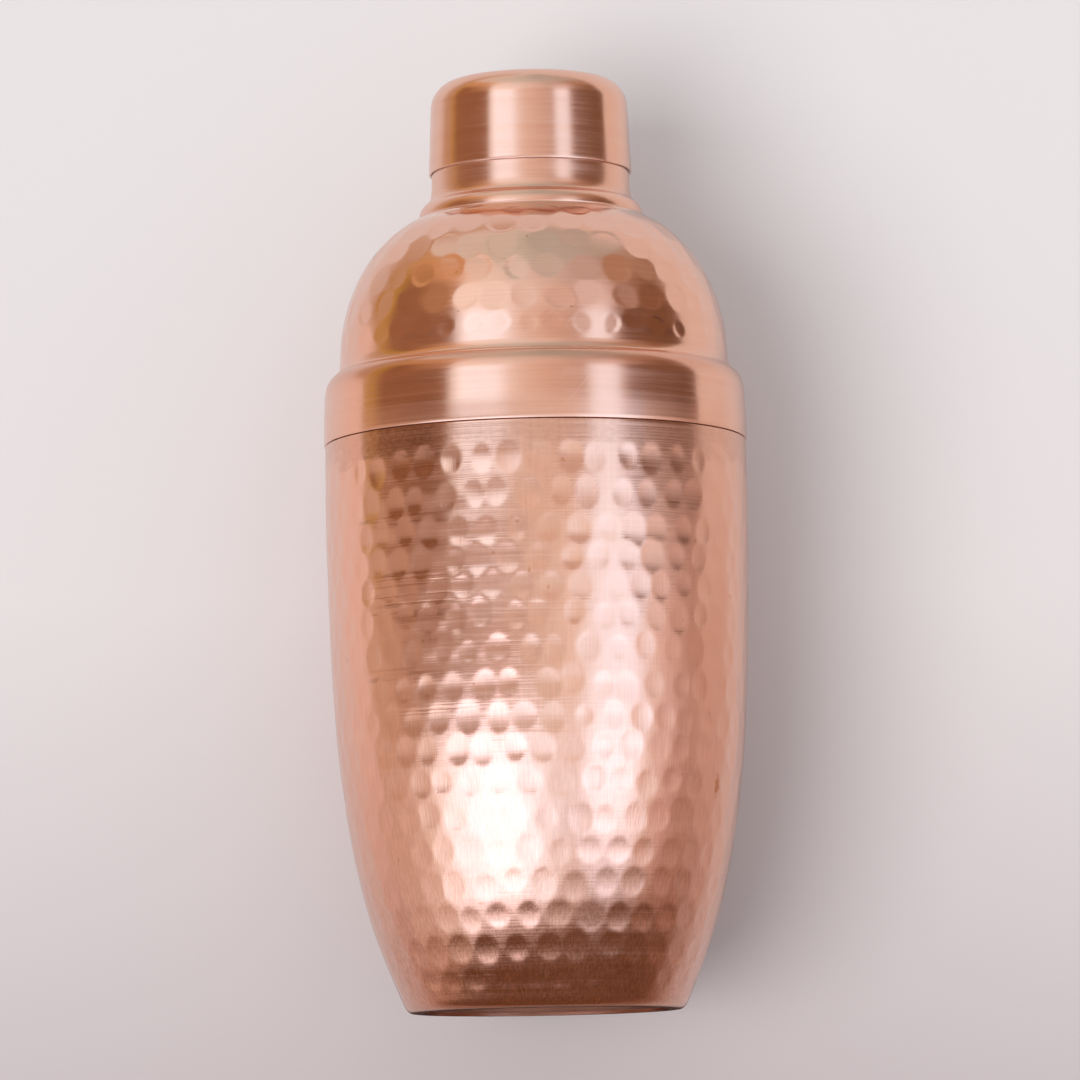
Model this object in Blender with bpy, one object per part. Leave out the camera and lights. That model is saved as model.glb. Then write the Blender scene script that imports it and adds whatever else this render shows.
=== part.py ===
"""Three-piece hammered copper cocktail shaker: a tumbler, a domed strainer top and a small cap.

Every piece is spun sheet, so every piece is a profile turned about +Z. The origin is the centre of
the foot's underside and +Z runs up through the cap. Profiles are (radius, height) in mm.

Six pieces in three bodies that lift apart:
  tumbler       body_shell, base_plate
  strainer_top  collar_band, dome_shell, strainer_plate
  cap           cap_shell
"""

import math

import bmesh
import bpy

MM = 0.001
SEGMENTS = 40  # facets round every shell, all in one phase so that nested shells keep their gaps
SHARP_ANGLE = math.radians(35)  # edges that turn more than this are shaded sharp
SHEET = 0.6  # thickness of the body, base, dome and collar
SEATING_GAP = 0.3  # left where one piece comes down on another
EDGE_CHAMFER = 0.2  # radial width of the chamfers on the rims of the tumbler and the neck

# Base colours
HAMMERED = (0.93, 0.55, 0.41)
BRUSHED = (0.92, 0.54, 0.40)


# ---- Profile helpers ----


def superellipse_arc(centre, semi_axes, start_deg, end_deg, steps, power=2.0, inset=0.0):
    """Points of a superellipse, by angle from +radius towards +Z; inset shortens both axes."""
    points = []
    for i in range(steps + 1):
        angle = math.radians(start_deg + (end_deg - start_deg) * i / steps)
        points.append(
            (
                centre[0] + (semi_axes[0] - inset) * math.cos(angle) ** (2 / power),
                centre[1] + (semi_axes[1] - inset) * math.sin(angle) ** (2 / power),
            )
        )
    return points


def rounded_corner(start, control, end, steps):
    """Points of a quadratic curve between two profile points, ends included."""
    points = []
    for i in range(steps + 1):
        t = i / steps
        weights = ((1 - t) ** 2, 2 * t * (1 - t), t * t)
        points.append(
            tuple(
                sum(weight * point[axis] for weight, point in zip(weights, (start, control, end)))
                for axis in (0, 1)
            )
        )
    return points


def sheet_inside(outside):
    """Inner face of a steep stretch of sheet, in reverse order: each point moved in radially."""
    return [(radius - SHEET, z) for radius, z in reversed(outside)]


# ---- Tumbler ----

FOOT_HOLE_R = 25.5  # the foot is turned in to here
FOOT_FLAT_R = 27.8  # outer edge of the flat underside
FOOT_CONTROL_R = FOOT_FLAT_R + 1.2  # control point of the corner up to the wall

# (radius, height) of the tapered, bellied wall's outside
WALL = (
    (29.9, 2.4), (33.4, 10.8), (36.25, 19.1), (38.4, 27.5), (40.05, 35.8), (41.35, 44.2),
    (42.3, 52.5), (43.45, 69.3), (44.0, 86.1), (44.3, 103.0), (44.2, 118.4),
)

# (radius, height) of the corner inside the foot, from the wall down to the floor
FLOOR_CORNER = ((30.0, 3.1), (27.9, SHEET))

STEP_Z = 118.95  # top of the shoulder under the collar
RIM_FOOT_R = 43.55
RIM_TOP_R = 42.95
RIM_TOP_Z = 130.5

STEP_OUTSIDE = ((44.05, STEP_Z - 0.15), (RIM_FOOT_R, STEP_Z))
STEP_INSIDE = ((RIM_FOOT_R - SHEET, 118.5), (43.55, 117.8))

# (radius, height) of the rim's outside, from above the step to the chamfer
RIM_WALL = ((43.45, 123.5), (43.22, 127.2), (RIM_TOP_R, RIM_TOP_Z - 0.3))

BASE_EDGE_Z = SHEET + SEATING_GAP  # underside of the edge, above the turned-in foot
BASE_DISH_Z = 1.9  # underside of the raised centre


def wall_inside():
    """The wall's inner stations moved in by the sheet thickness, square to the wall."""
    points = []
    for below, (radius, z), above in zip(WALL, WALL[1:], WALL[2:]):
        slope = (above[0] - below[0]) / (above[1] - below[1])
        length = math.hypot(1.0, slope)
        points.append((radius - SHEET / length, z + SHEET * slope / length))
    return points


def body_outline():
    """Tumbler shell: turned-in foot, bellied wall, step and upright rim."""
    foot = [(FOOT_HOLE_R, 0.0)]
    foot += rounded_corner((FOOT_FLAT_R, 0.0), (FOOT_CONTROL_R, 0.0), WALL[0], 3)
    outside = [*WALL[1:], *STEP_OUTSIDE, *RIM_WALL]
    rim_top = [
        (RIM_TOP_R - EDGE_CHAMFER, RIM_TOP_Z),
        (RIM_TOP_R - SHEET + EDGE_CHAMFER, RIM_TOP_Z),
    ]
    inside = [*sheet_inside(RIM_WALL), *STEP_INSIDE, *reversed(wall_inside())]
    return foot + outside + rim_top + inside + [*FLOOR_CORNER, (FOOT_HOLE_R, SHEET)]


def base_outline():
    """Dished disc with its edge over the turned-in foot and its centre raised."""
    return [
        (0.0, BASE_DISH_Z),
        (22.0, BASE_DISH_Z),
        (24.2, BASE_EDGE_Z),
        (27.4, BASE_EDGE_Z),
        (27.9, BASE_EDGE_Z + SHEET),
        (24.5, BASE_EDGE_Z + SHEET),
        (22.3, BASE_DISH_Z + SHEET),
        (0.0, BASE_DISH_Z + SHEET),
    ]


# ---- Cap ----

CAP_SHEET = 0.5
CAP_Z = 176.6  # lower edge
CAP_TOP_Z = 196.4
CAP_CROWN = 0.2  # rise of the top from its corner to the axis
CAP_FOOT_R = 21.4
CAP_SIDE_R = 20.8  # at the top of the tapered side
CAP_CORNER = (5.2, 5.8)  # semi-axes of the corner, across and up
CAP_SIDE_Z = CAP_TOP_Z - CAP_CROWN - CAP_CORNER[1]  # top of the tapered side

# (radius, height) of the crown's outside, from the corner to the axis
CAP_CROWN_POINTS = ((8.0, CAP_TOP_Z - 0.06), (0.0, CAP_TOP_Z))


def cap_inner_radius(z):
    """The cap's bore tapers upwards with its outside."""
    taper = (CAP_FOOT_R - CAP_SIDE_R) / (CAP_SIDE_Z - CAP_Z)
    return CAP_FOOT_R - CAP_SHEET - taper * (z - CAP_Z)


def cap_outline():
    """Tapered side, rounded corner and slightly crowned top."""
    centre = (CAP_SIDE_R - CAP_CORNER[0], CAP_SIDE_Z)
    outside = [(CAP_FOOT_R, CAP_Z)]
    outside += superellipse_arc(centre, CAP_CORNER, 0, 90, 7)
    outside += CAP_CROWN_POINTS
    inside = [(radius, z - CAP_SHEET) for radius, z in reversed(CAP_CROWN_POINTS)]
    inside += reversed(superellipse_arc(centre, CAP_CORNER, 0, 90, 6, inset=CAP_SHEET))
    inside += [(CAP_FOOT_R - CAP_SHEET, CAP_Z)]
    return outside + inside


# ---- Strainer top: collar ----

COLLAR_Z = STEP_Z + SEATING_GAP  # lower edge
COLLAR_R = 44.4
COLLAR_SKIRT = ((COLLAR_R, COLLAR_Z), (COLLAR_R, 122.5), (44.2, 126.6))  # outside, going up

SHOULDER_CENTRE = (40.2, 128.5)
SHOULDER_AXES = (3.95, 5.6)  # semi-axes, across and up
SHOULDER_POWER = 2.3
SHOULDER_START_DEG = 8
SHOULDER_OUTER_END_DEG = 64
SHOULDER_INNER_END_DEG = 44

SEAT_Z = 133.0  # top of the ledge under the dome's foot
SEAT_INNER_R = 39.6


def shoulder(end_deg, steps, inset=0.0):
    return superellipse_arc(
        SHOULDER_CENTRE, SHOULDER_AXES, SHOULDER_START_DEG, end_deg, steps, SHOULDER_POWER, inset
    )


def collar_outline():
    """Skirt round the tumbler's rim, rounded shoulder and inward ledge."""
    outside = [*COLLAR_SKIRT, *shoulder(SHOULDER_OUTER_END_DEG, 7)]
    seat = [
        (42.05, SEAT_Z),
        (SEAT_INNER_R, SEAT_Z),
        (SEAT_INNER_R, SEAT_Z - SHEET),
        (41.9, SEAT_Z - SHEET),
    ]
    inside = [*reversed(shoulder(SHOULDER_INNER_END_DEG, 4, SHEET)), *sheet_inside(COLLAR_SKIRT)]
    return outside + seat + inside


# ---- Strainer top: dome ----

DOME_FOOT_Z = SEAT_Z + SEATING_GAP
# (radius, height above DOME_FOOT_Z) of the flanged foot
DOME_FOOT = ((40.2, 0.0), (41.85, 0.0), (41.9, 0.55), (41.5, 0.8), (41.1, 1.4), (40.85, 2.3))

# The dome is part of an ellipse, centred off the axis
DOME_R = 40.75  # at the ellipse's centre height
DOME_CENTRE_Z = 136.8
DOME_AXES = (24.9, 31.6)  # semi-axes, across and up
DOME_HEIGHTS = (139.5, 143.5, 147.5, 151.0, 154.2, 157.2, 159.8, 162.0, 164.0, 165.6)
DOME_TOP = (23.9, 166.8)

# Bead between the dome and the neck: start, control and end points
BEAD_R = 23.65
BEAD = ((BEAD_R, 167.3), (BEAD_R, 169.4), (22.1, 170.05))
BEAD_INSIDE = ((21.3, 169.9), (22.6, 169.0), (23.05, 167.6), (23.0, 166.2))  # going down

NECK_R = 20.82  # just below the cap's lower edge
NECK_TOP_Z = 191.2
NECK_HEIGHTS = (176.8, 184.0, 190.6)  # stations inside the cap
NECK_TO_CAP = 0.17  # sliding clearance between the neck and the cap
NECK_FILLET = ((21.75, 170.35), (21.3, 171.0), (21.0, 172.0), (20.88, 173.5))  # going up
NECK_FILLET_INSIDE = ((20.3, 173.0), (20.6, 171.2))  # going down


def dome_radius(z, inset=0.0):
    across, up = (axis - inset for axis in DOME_AXES)
    return DOME_R - DOME_AXES[0] + across * math.sqrt(1 - ((z - DOME_CENTRE_Z) / up) ** 2)


def dome_outline():
    """One spinning: flanged foot, dome, rounded bead and plain neck."""
    neck = [(cap_inner_radius(z) - NECK_TO_CAP, z) for z in NECK_HEIGHTS]
    neck_top_r = neck[-1][0]

    outside = [(radius, DOME_FOOT_Z + rise) for radius, rise in DOME_FOOT]
    outside += [(dome_radius(z), z) for z in DOME_HEIGHTS]
    outside += [DOME_TOP, *rounded_corner(*BEAD, 4), *NECK_FILLET, (NECK_R, 176.2), *neck]
    rim_top = [
        (neck_top_r - EDGE_CHAMFER, NECK_TOP_Z),
        (neck_top_r - SHEET + EDGE_CHAMFER, NECK_TOP_Z),
    ]
    # The inside leaves out the neck's lowest station and the dome's highest
    inside = [*sheet_inside(neck[1:]), (NECK_R - SHEET, 176.0)]
    inside += [*NECK_FILLET_INSIDE, *BEAD_INSIDE]
    inside += [(dome_radius(z, SHEET), z) for z in reversed(DOME_HEIGHTS[:-1])]
    return outside + rim_top + inside


# ---- Strainer top: strainer ----

STRAINER_Z = 187.0  # underside
STRAINER_R = 19.3
STRAINER_SHEET = 0.5
STRAINER_FLANGE_TOP_Z = STRAINER_Z + 3.2
STRAINER_OUTER_CORNER = 0.6  # bevel under the flange
STRAINER_INNER_CORNER = 0.85  # inner bevel, from the outer radius and the underside

HOLE_R = 1.3
HOLE_PITCH = 4.9  # between rings; ring 0 is the centre hole and ring n has 6n holes
HOLE_RINGS = 4
STAGGERED_RING = 2  # turned by half its spacing
HOLE_FACETS = 10
CUTTER_LENGTH = 4.0


def strainer_outline():
    """Flat disc with an upturned flange that stands inside the neck's mouth."""
    inner_r = STRAINER_R - STRAINER_SHEET
    top_z = STRAINER_Z + STRAINER_SHEET
    return [
        (0.0, STRAINER_Z),
        (STRAINER_R - STRAINER_OUTER_CORNER, STRAINER_Z),
        (STRAINER_R, STRAINER_Z + STRAINER_OUTER_CORNER),
        (STRAINER_R, STRAINER_FLANGE_TOP_Z),
        (inner_r, STRAINER_FLANGE_TOP_Z),
        (inner_r, STRAINER_Z + STRAINER_INNER_CORNER),
        (STRAINER_R - STRAINER_INNER_CORNER, top_z),
        (0.0, top_z),
    ]


def hole_cutter(mat, parent):
    """All the strainer's drill holes as one set of short rods."""
    bm = bmesh.new()
    middle_z = STRAINER_Z + STRAINER_SHEET / 2
    for ring in range(HOLE_RINGS):
        radius = ring * HOLE_PITCH
        count = 6 * ring or 1
        offset = 0.5 if ring == STAGGERED_RING else 0.0
        for i in range(count):
            angle = 2 * math.pi * (i + offset) / count
            rod = bmesh.ops.create_cone(
                bm,
                cap_ends=True,
                segments=HOLE_FACETS,
                radius1=HOLE_R * MM,
                radius2=HOLE_R * MM,
                depth=CUTTER_LENGTH * MM,
            )
            place = (radius * math.cos(angle), radius * math.sin(angle), middle_z)
            bmesh.ops.translate(bm, verts=rod["verts"], vec=[value * MM for value in place])
    cutter = finish(bm, "strainer_hole_cutter", mat, parent)
    cutter.hide_render = True
    cutter.display_type = "WIRE"
    return cutter


def strainer_plate(parent):
    """The turned strainer with its holes cut by a boolean."""
    mat = copper("brushed_copper_strainer", BRUSHED, roughness=0.3)
    plate = turned("strainer_plate", strainer_outline(), mat, parent)
    holes = plate.modifiers.new("drill_holes", "BOOLEAN")
    holes.operation = "DIFFERENCE"
    holes.solver = "EXACT"
    holes.object = hole_cutter(mat, parent)


# ---- Building ----


def copper(name, colour, roughness):
    mat = bpy.data.materials.new(name)
    mat.use_nodes = True
    shader = mat.node_tree.nodes["Principled BSDF"]
    shader.inputs["Base Color"].default_value = (*colour, 1.0)
    shader.inputs["Metallic"].default_value = 1.0
    shader.inputs["Roughness"].default_value = roughness
    mat.diffuse_color = (*colour, 1.0)
    return mat


def finish(bm, name, mat, parent):
    """Turns a bmesh in shaker coordinates into a named object under its body's empty."""
    bmesh.ops.recalc_face_normals(bm, faces=bm.faces)
    bmesh.ops.translate(bm, verts=bm.verts, vec=-parent.location)
    mesh = bpy.data.meshes.new(name)
    bm.to_mesh(mesh)
    bm.free()
    mesh.materials.append(mat)
    mesh.shade_smooth()
    mesh.set_sharp_from_angle(angle=SHARP_ANGLE)
    obj = bpy.data.objects.new(name, mesh)
    obj.parent = parent
    bpy.context.scene.collection.objects.link(obj)
    return obj


def turned(name, outline, mat, parent):
    """Spins a closed profile about +Z, leaving out any edge that lies along the axis."""
    bm = bmesh.new()
    verts = [bm.verts.new((radius * MM, 0.0, z * MM)) for radius, z in outline]
    on_axis = [vert for vert in verts if abs(vert.co.x) < 1e-9]
    edges = [
        bm.edges.new(pair)
        for pair in zip(verts, verts[1:] + verts[:1])
        if not (pair[0] in on_axis and pair[1] in on_axis)
    ]
    bmesh.ops.spin(
        bm,
        geom=verts + edges,
        cent=(0, 0, 0),
        axis=(0, 0, 1),
        angle=2 * math.pi,
        steps=SEGMENTS,
        use_merge=True,
    )
    # Welds the copies of each point on the axis
    bmesh.ops.remove_doubles(bm, verts=bm.verts, dist=1e-6)
    return finish(bm, name, mat, parent)


def body_empty(name, height):
    """A body's frame: an empty on the axis, at the body's lower edge."""
    empty = bpy.data.objects.new(name, None)
    empty.empty_display_size = 0.02
    empty.location = (0.0, 0.0, height * MM)
    bpy.context.scene.collection.objects.link(empty)
    return empty


def main():
    for obj in list(bpy.data.objects):
        bpy.data.objects.remove(obj, do_unlink=True)

    tumbler = body_empty("tumbler_frame", 0.0)
    strainer_top = body_empty("strainer_top_frame", COLLAR_Z)
    cap = body_empty("cap_frame", CAP_Z)

    body_mat = copper("hammered_copper_body", HAMMERED, roughness=0.22)
    turned("body_shell", body_outline(), body_mat, tumbler)
    base_mat = copper("brushed_copper_base", BRUSHED, roughness=0.3)
    turned("base_plate", base_outline(), base_mat, tumbler)

    collar_mat = copper("brushed_copper_collar", BRUSHED, roughness=0.27)
    turned("collar_band", collar_outline(), collar_mat, strainer_top)
    dome_mat = copper("hammered_copper_dome", HAMMERED, roughness=0.2)
    turned("dome_shell", dome_outline(), dome_mat, strainer_top)
    strainer_plate(strainer_top)

    cap_mat = copper("brushed_copper_cap", BRUSHED, roughness=0.25)
    turned("cap_shell", cap_outline(), cap_mat, cap)


main()
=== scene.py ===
"""Looks for a hammered copper cocktail shaker: tumbler, strainer top and cap.

The shaker stands on z = 0 with its axis on +Z and its front towards -Y; +X is on the right.
Every CAD node is replaced by a finer turned mesh. The tumbler's wall and the dome carry real
hammer marks, and the materials add brushing, scratches, small wear and some painted shade,
reflection and highlight. The main camera looks at the shaker as if it lay on a table behind it;
in every view from above z = 0 it stands on a floor.
"""

import math

import bmesh
import bpy
import numpy as np
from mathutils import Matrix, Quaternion, Vector


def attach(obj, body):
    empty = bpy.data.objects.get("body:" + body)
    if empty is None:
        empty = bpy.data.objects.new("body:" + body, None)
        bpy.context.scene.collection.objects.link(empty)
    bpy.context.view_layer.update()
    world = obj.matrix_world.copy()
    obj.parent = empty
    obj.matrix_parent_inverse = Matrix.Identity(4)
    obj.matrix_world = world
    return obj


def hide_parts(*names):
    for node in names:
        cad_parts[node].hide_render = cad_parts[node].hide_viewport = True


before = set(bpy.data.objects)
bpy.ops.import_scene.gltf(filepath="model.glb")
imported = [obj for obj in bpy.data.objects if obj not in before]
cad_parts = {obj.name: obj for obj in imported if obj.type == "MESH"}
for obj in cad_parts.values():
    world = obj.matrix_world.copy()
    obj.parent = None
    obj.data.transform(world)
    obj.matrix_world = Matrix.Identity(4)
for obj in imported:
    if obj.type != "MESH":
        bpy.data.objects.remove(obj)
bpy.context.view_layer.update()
MM = 0.001

# ---------------------------------------------------------------- sizes, in mm

SHEET = 0.6
CAP_SHEET = 0.5

# Tumbler
FOOT_FLAT_R = 27.8
FOOT_HOLE_R = 25.5
WALL_STATIONS = (
    # height, radius
    (2.4, 29.9), (10.8, 33.4), (19.1, 36.25), (27.5, 38.4), (35.8, 40.05), (44.2, 41.35),
    (52.5, 42.3), (69.3, 43.45), (86.1, 44.0), (103.0, 44.3), (118.4, 44.2),
)
STEP_Z = 118.95  # where the wall steps in to fit under the collar
RIM_TOP_R, RIM_TOP_Z = 42.95, 130.5

# Collar, with a superellipse shoulder
COLLAR_Z, COLLAR_R = 119.08, 44.4
SHOULDER_CENTRE = (40.2, 128.5)
SHOULDER_A, SHOULDER_B, SHOULDER_POWER = 3.95, 5.6, 2.3
SEAT_Z = 133.0

# Dome: foot radius, the half axes of its elliptic curve and the height where that starts
DOME_R, DOME_A, DOME_B, DOME_Z = 40.75, 24.9, 31.6, 136.8
DOME_STEP = 0.42  # between profile points, along the curve
BEAD_R = 23.65
NECK_R = 20.82
NECK_LIP_Z = 190.9
NECK_TO_CAP = 0.17

# Strainer
STRAINER_Z, STRAINER_R, STRAINER_SHEET = 187.0, 19.3, 0.5
HOLE_R = 1.3
HOLE_CUTTER_DEPTH = 3.0
HOLE_RINGS = ((0.0, 1), (4.9, 6), (9.8, 12), (14.7, 18))  # ring radius, holes

# Cap
CAP_Z = 176.6
CAP_FOOT_R, CAP_SIDE_R = 21.4, 20.8
CAP_CORNER_A, CAP_CORNER_B = 5.2, 5.8
CAP_TOP_Z, CAP_CROWN = 196.4, 0.2
CAP_FLAT_R = CAP_SIDE_R - CAP_CORNER_A
CAP_SIDE_TOP_Z = CAP_TOP_Z - CAP_CROWN - CAP_CORNER_B

# Hammer marks
WALL_MARK_PITCH = 6.15
WALL_ROWS = (
    # height, shift round the wall in mark pitches; from the collar down to the foot
    (111.0, 0.10), (103.7, -0.18), (96.6, 0.32), (91.0, 0.05), (85.2, 0.42), (79.0, 0.16),
    (72.3, -0.30), (65.0, 0.05), (58.2, 0.48), (52.0, 0.10), (45.4, -0.35), (38.3, 0.12),
    (31.2, 0.55), (24.6, 0.05), (18.3, 0.50), (11.6, 0.12), (5.6, -0.40),
)
DOME_ROWS = (
    # height, marks round the row, mark half width, half height, depth
    (139.6, 44, 2.25, 2.25, 0.070),
    (145.3, 37, 3.05, 2.95, 0.125),
    (151.2, 34, 3.15, 3.20, 0.135),
    (156.9, 31, 3.30, 3.30, 0.150),
    (161.3, 28, 3.30, 3.20, 0.160),
    (165.0, 24, 3.30, 2.30, 0.075),
)

# Low waves between the rows of wall marks
RIPPLE_CRESTS = (61.0, 68.0, 74.6, 80.2, 87.6, 94.0, 99.5, 105.5, 112.5)  # heights
RIPPLE_SIZES = (
    # height, wave depth
    (62, 0), (68, 0.040), (80, 0.050), (95, 0.042), (105, 0.030), (111, 0),
)

SMOOTH_ANGLE = math.radians(32)

# ---------------------------------------------------------------- profiles, (radius, height) in mm


def hermite(stations, count):
    """Smooth curve through (height, radius) stations, as (radius, height) points."""
    z, radius = np.array(stations, float).T
    step = np.diff(z)
    chord = np.diff(radius) / step
    slope = np.empty(len(z))
    slope[1:-1] = (chord[:-1] * step[1:] + chord[1:] * step[:-1]) / (step[:-1] + step[1:])
    slope[0], slope[-1] = chord[0] * 1.04, chord[-1]
    heights = np.linspace(z[0], z[-1], count)
    k = np.clip(np.searchsorted(z, heights, side="right") - 1, 0, len(z) - 2)
    t = (heights - z[k]) / step[k]
    radii = (
        (2 * t**3 - 3 * t**2 + 1) * radius[k]
        + (t**3 - 2 * t**2 + t) * step[k] * slope[k]
        + (-2 * t**3 + 3 * t**2) * radius[k + 1]
        + (t**3 - t**2) * step[k] * slope[k + 1]
    )
    return list(zip(radii.tolist(), heights.tolist()))


def arc(centre, a, b, start, end, steps, power=2.0):
    """Part of a superellipse with half axes a and b, between two angles in degrees."""
    points = []
    for i in range(steps + 1):
        t = math.radians(start + (end - start) * i / steps)
        across = max(0.0, math.cos(t)) ** (2 / power)
        up = max(0.0, math.sin(t)) ** (2 / power)
        points.append((centre[0] + a * across, centre[1] + b * up))
    return points


def bezier(start, control, end, steps):
    return [
        tuple(
            (1 - t) ** 2 * start[k] + 2 * t * (1 - t) * control[k] + t * t * end[k]
            for k in (0, 1)
        )
        for t in (i / steps for i in range(steps + 1))
    ]


def line(start, end, count):
    """count points from start up to, not including, end."""
    return [
        (start[0] + (end[0] - start[0]) * i / count, start[1] + (end[1] - start[1]) * i / count)
        for i in range(count)
    ]


def round_lip(radius, z, count):
    """Half circle over the sheet's edge, from its outer face to its inner one."""
    half = SHEET / 2
    return [
        (radius - half + half * math.cos(t), z + half * math.sin(t))
        for t in np.linspace(0, math.pi, count)
    ]


def wall_radius(z):
    heights, radii = np.array(WALL_STATIONS).T
    return float(np.interp(z, heights, radii))


def dome_radius(z, inward=0.0):
    a, b = DOME_A - inward, DOME_B - inward
    part_up = min(1.0, max(0.0, (z - DOME_Z) / b))
    return DOME_R - DOME_A + a * math.sqrt(1 - part_up * part_up)


def neck_radius(z):
    """Neck radius inside the cap, parallel to the cap's tapered bore."""
    taper = (CAP_FOOT_R - CAP_SIDE_R) / (CAP_SIDE_TOP_Z - CAP_Z)
    return CAP_FOOT_R - CAP_SHEET - taper * (z - CAP_Z) - NECK_TO_CAP


def crown_z(radius):
    return CAP_TOP_Z - CAP_CROWN * (radius / CAP_FLAT_R) ** 2


# ---------------------------------------------------------------- turned meshes


def turned(name, profile_mm, around, sunk=None, attributes=None):
    """A closed shell swept round +Z. sunk is metres moved inward at [profile point, angle].
    A profile that starts and ends on the axis is closed there with fans."""
    profile = np.array(profile_mm, float) * MM
    rows = len(profile)
    on_axis = profile[0, 0] < 1e-9 and profile[-1, 0] < 1e-9
    theta = -math.pi / 2 + 2 * math.pi * np.arange(around) / around
    radius = np.repeat(profile[:, :1], around, 1)
    z = np.repeat(profile[:, 1:], around, 1)
    if sunk is not None:
        tangent = np.roll(profile, -1, 0) - np.roll(profile, 1, 0)
        tangent /= np.maximum(np.hypot(*tangent.T), 1e-12)[:, None]
        radius = radius - sunk * tangent[:, 1:]
        z = z + sunk * tangent[:, :1]
    points = np.stack([radius * np.cos(theta), radius * np.sin(theta), z], -1)
    first, last = (1, rows - 1) if on_axis else (0, rows)
    verts = points[first:last].reshape(-1, 3)
    swept = len(verts)
    index = np.arange(swept).reshape(last - first, around)
    if on_axis:
        lower, upper = index[:-1], index[1:]
    else:
        lower, upper = index, np.roll(index, -1, 0)
    quads = np.stack([lower, np.roll(lower, -1, 1), np.roll(upper, -1, 1), upper], -1)
    faces = [tuple(quad) for quad in quads.reshape(-1, 4).tolist()]
    if on_axis:
        verts = np.vstack([verts, [[0, 0, profile[0, 1]], [0, 0, profile[-1, 1]]]])
        for i in range(around):
            j = (i + 1) % around
            faces.append((swept, int(index[0, j]), int(index[0, i])))
            faces.append((swept + 1, int(index[-1, i]), int(index[-1, j])))
    mesh = bpy.data.meshes.new(name)
    mesh.from_pydata(verts.tolist(), [], faces)
    mesh.update()
    for key, values in (attributes or {}).items():
        attribute = mesh.attributes.new(key, "FLOAT", "POINT")
        flat = np.zeros(len(verts), np.float32)
        flat[:swept] = values[first:last].reshape(-1)
        attribute.data.foreach_set("value", flat)
    mesh.shade_smooth()
    mesh.set_sharp_from_angle(angle=SMOOTH_ANGLE)
    return link_object(name, mesh)


def link_object(name, data):
    obj = bpy.data.objects.new(name, data)
    bpy.context.scene.collection.objects.link(obj)
    return obj


def row_flag(profile, around, start, stop=None):
    """1 on the profile points from start to stop, 0 on the others."""
    flag = np.zeros((len(profile), around))
    flag[start:stop] = 1.0
    return flag


def padded(values, profile):
    """values of the outer face, with zeros for the rest of the profile."""
    return np.pad(values, ((0, len(profile) - len(values)), (0, 0)))


def ramp_up(values, start, width):
    return np.clip((values - start) / width, 0, 1)


def ramp_down(values, end, width):
    return np.clip((end - values) / width, 0, 1)


def turns(around):
    """Angle of each column from the front, -pi on the left to pi on the right."""
    turn = 2 * math.pi * np.arange(around) / around
    return np.where(turn > math.pi, turn - 2 * math.pi, turn)


# ---------------------------------------------------------------- hammer marks


def hammer(profile_mm, around, marks):
    """Depth in metres and a 0..1 inside mask of hammer marks on a profile's outer face."""
    profile = np.array(profile_mm, float)
    length = np.concatenate([[0.0], np.cumsum(np.hypot(*np.diff(profile, axis=0).T))])
    depth = np.zeros((len(profile), around))
    inside = np.zeros((len(profile), around))
    step = 2 * math.pi / around
    for z, angle, half_width, half_height, deep, tilt, lean_round, lean_up in marks:
        near = int(np.argmin(np.abs(profile[:, 1] - z)))
        after = min(near + 1, len(profile) - 1)
        radius = profile[near, 0]
        climb = (profile[after, 1] - profile[near, 1]) / (length[after] - length[near])
        middle = length[near] + (z - profile[near, 1]) / max(0.2, climb)
        rows = np.nonzero(np.abs(length - middle) < half_height * 1.3)[0]
        if not len(rows):
            continue
        reach = int(half_width * 1.35 / (radius * step)) + 2
        centre = int(round(angle / step))
        cols = np.arange(centre - reach, centre + reach + 1)
        across = (cols * step - angle)[None, :] * profile[rows, 0][:, None]
        up = (length[rows] - middle)[:, None] + 0 * across
        cos, sin = math.cos(tilt), math.sin(tilt)
        out_sq = ((across * cos + up * sin) / half_width) ** 2
        out_sq = out_sq + ((-across * sin + up * cos) / half_height) ** 2
        bowl = np.clip(1 - out_sq, 0, None) * deep
        lean = (lean_round * across + lean_up * up) * np.clip((1 - out_sq) * 6, 0, 1)
        bowl = np.clip(bowl + lean, 0, None)
        mask = np.clip((1 - np.sqrt(out_sq)) / 0.16, 0, 1)
        cells = np.ix_(rows, cols % around)
        depth[cells] = np.maximum(depth[cells], bowl)
        inside[cells] = np.maximum(inside[cells], mask)
    return depth * MM, inside


def strike(rows, seed, lean):
    """Marks along each row, with a hand's unevenness. lean is the slope each may be struck off
    square. A mark is: height, angle from the front, half width, half height, depth, tilt and
    slopes round and up."""
    rng = np.random.default_rng(seed)
    marks = []
    for z, count, half_width, half_height, deep, shift in rows:
        pitch = 2 * math.pi / count
        wander = 0.225 * np.sin(rng.uniform(0, 6.28) + np.arange(count) * pitch * 2)
        for i in range(count):
            size = rng.normal(loc=1.0, scale=0.07)
            marks.append(
                (
                    z + float(wander[i]) + rng.normal(loc=0, scale=0.28),
                    (i + shift + rng.normal(loc=0, scale=0.07)) * pitch,
                    half_width * size * rng.normal(loc=1, scale=0.04),
                    half_height * size * rng.normal(loc=1, scale=0.05),
                    deep * float(np.clip(rng.normal(loc=1.0, scale=0.16), 0.6, 1.4)),
                    rng.normal(loc=0, scale=0.10),
                    rng.normal(loc=0, scale=1.0) * lean,
                    rng.normal(loc=0, scale=1.0) * lean,
                )
            )
    return marks


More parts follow.
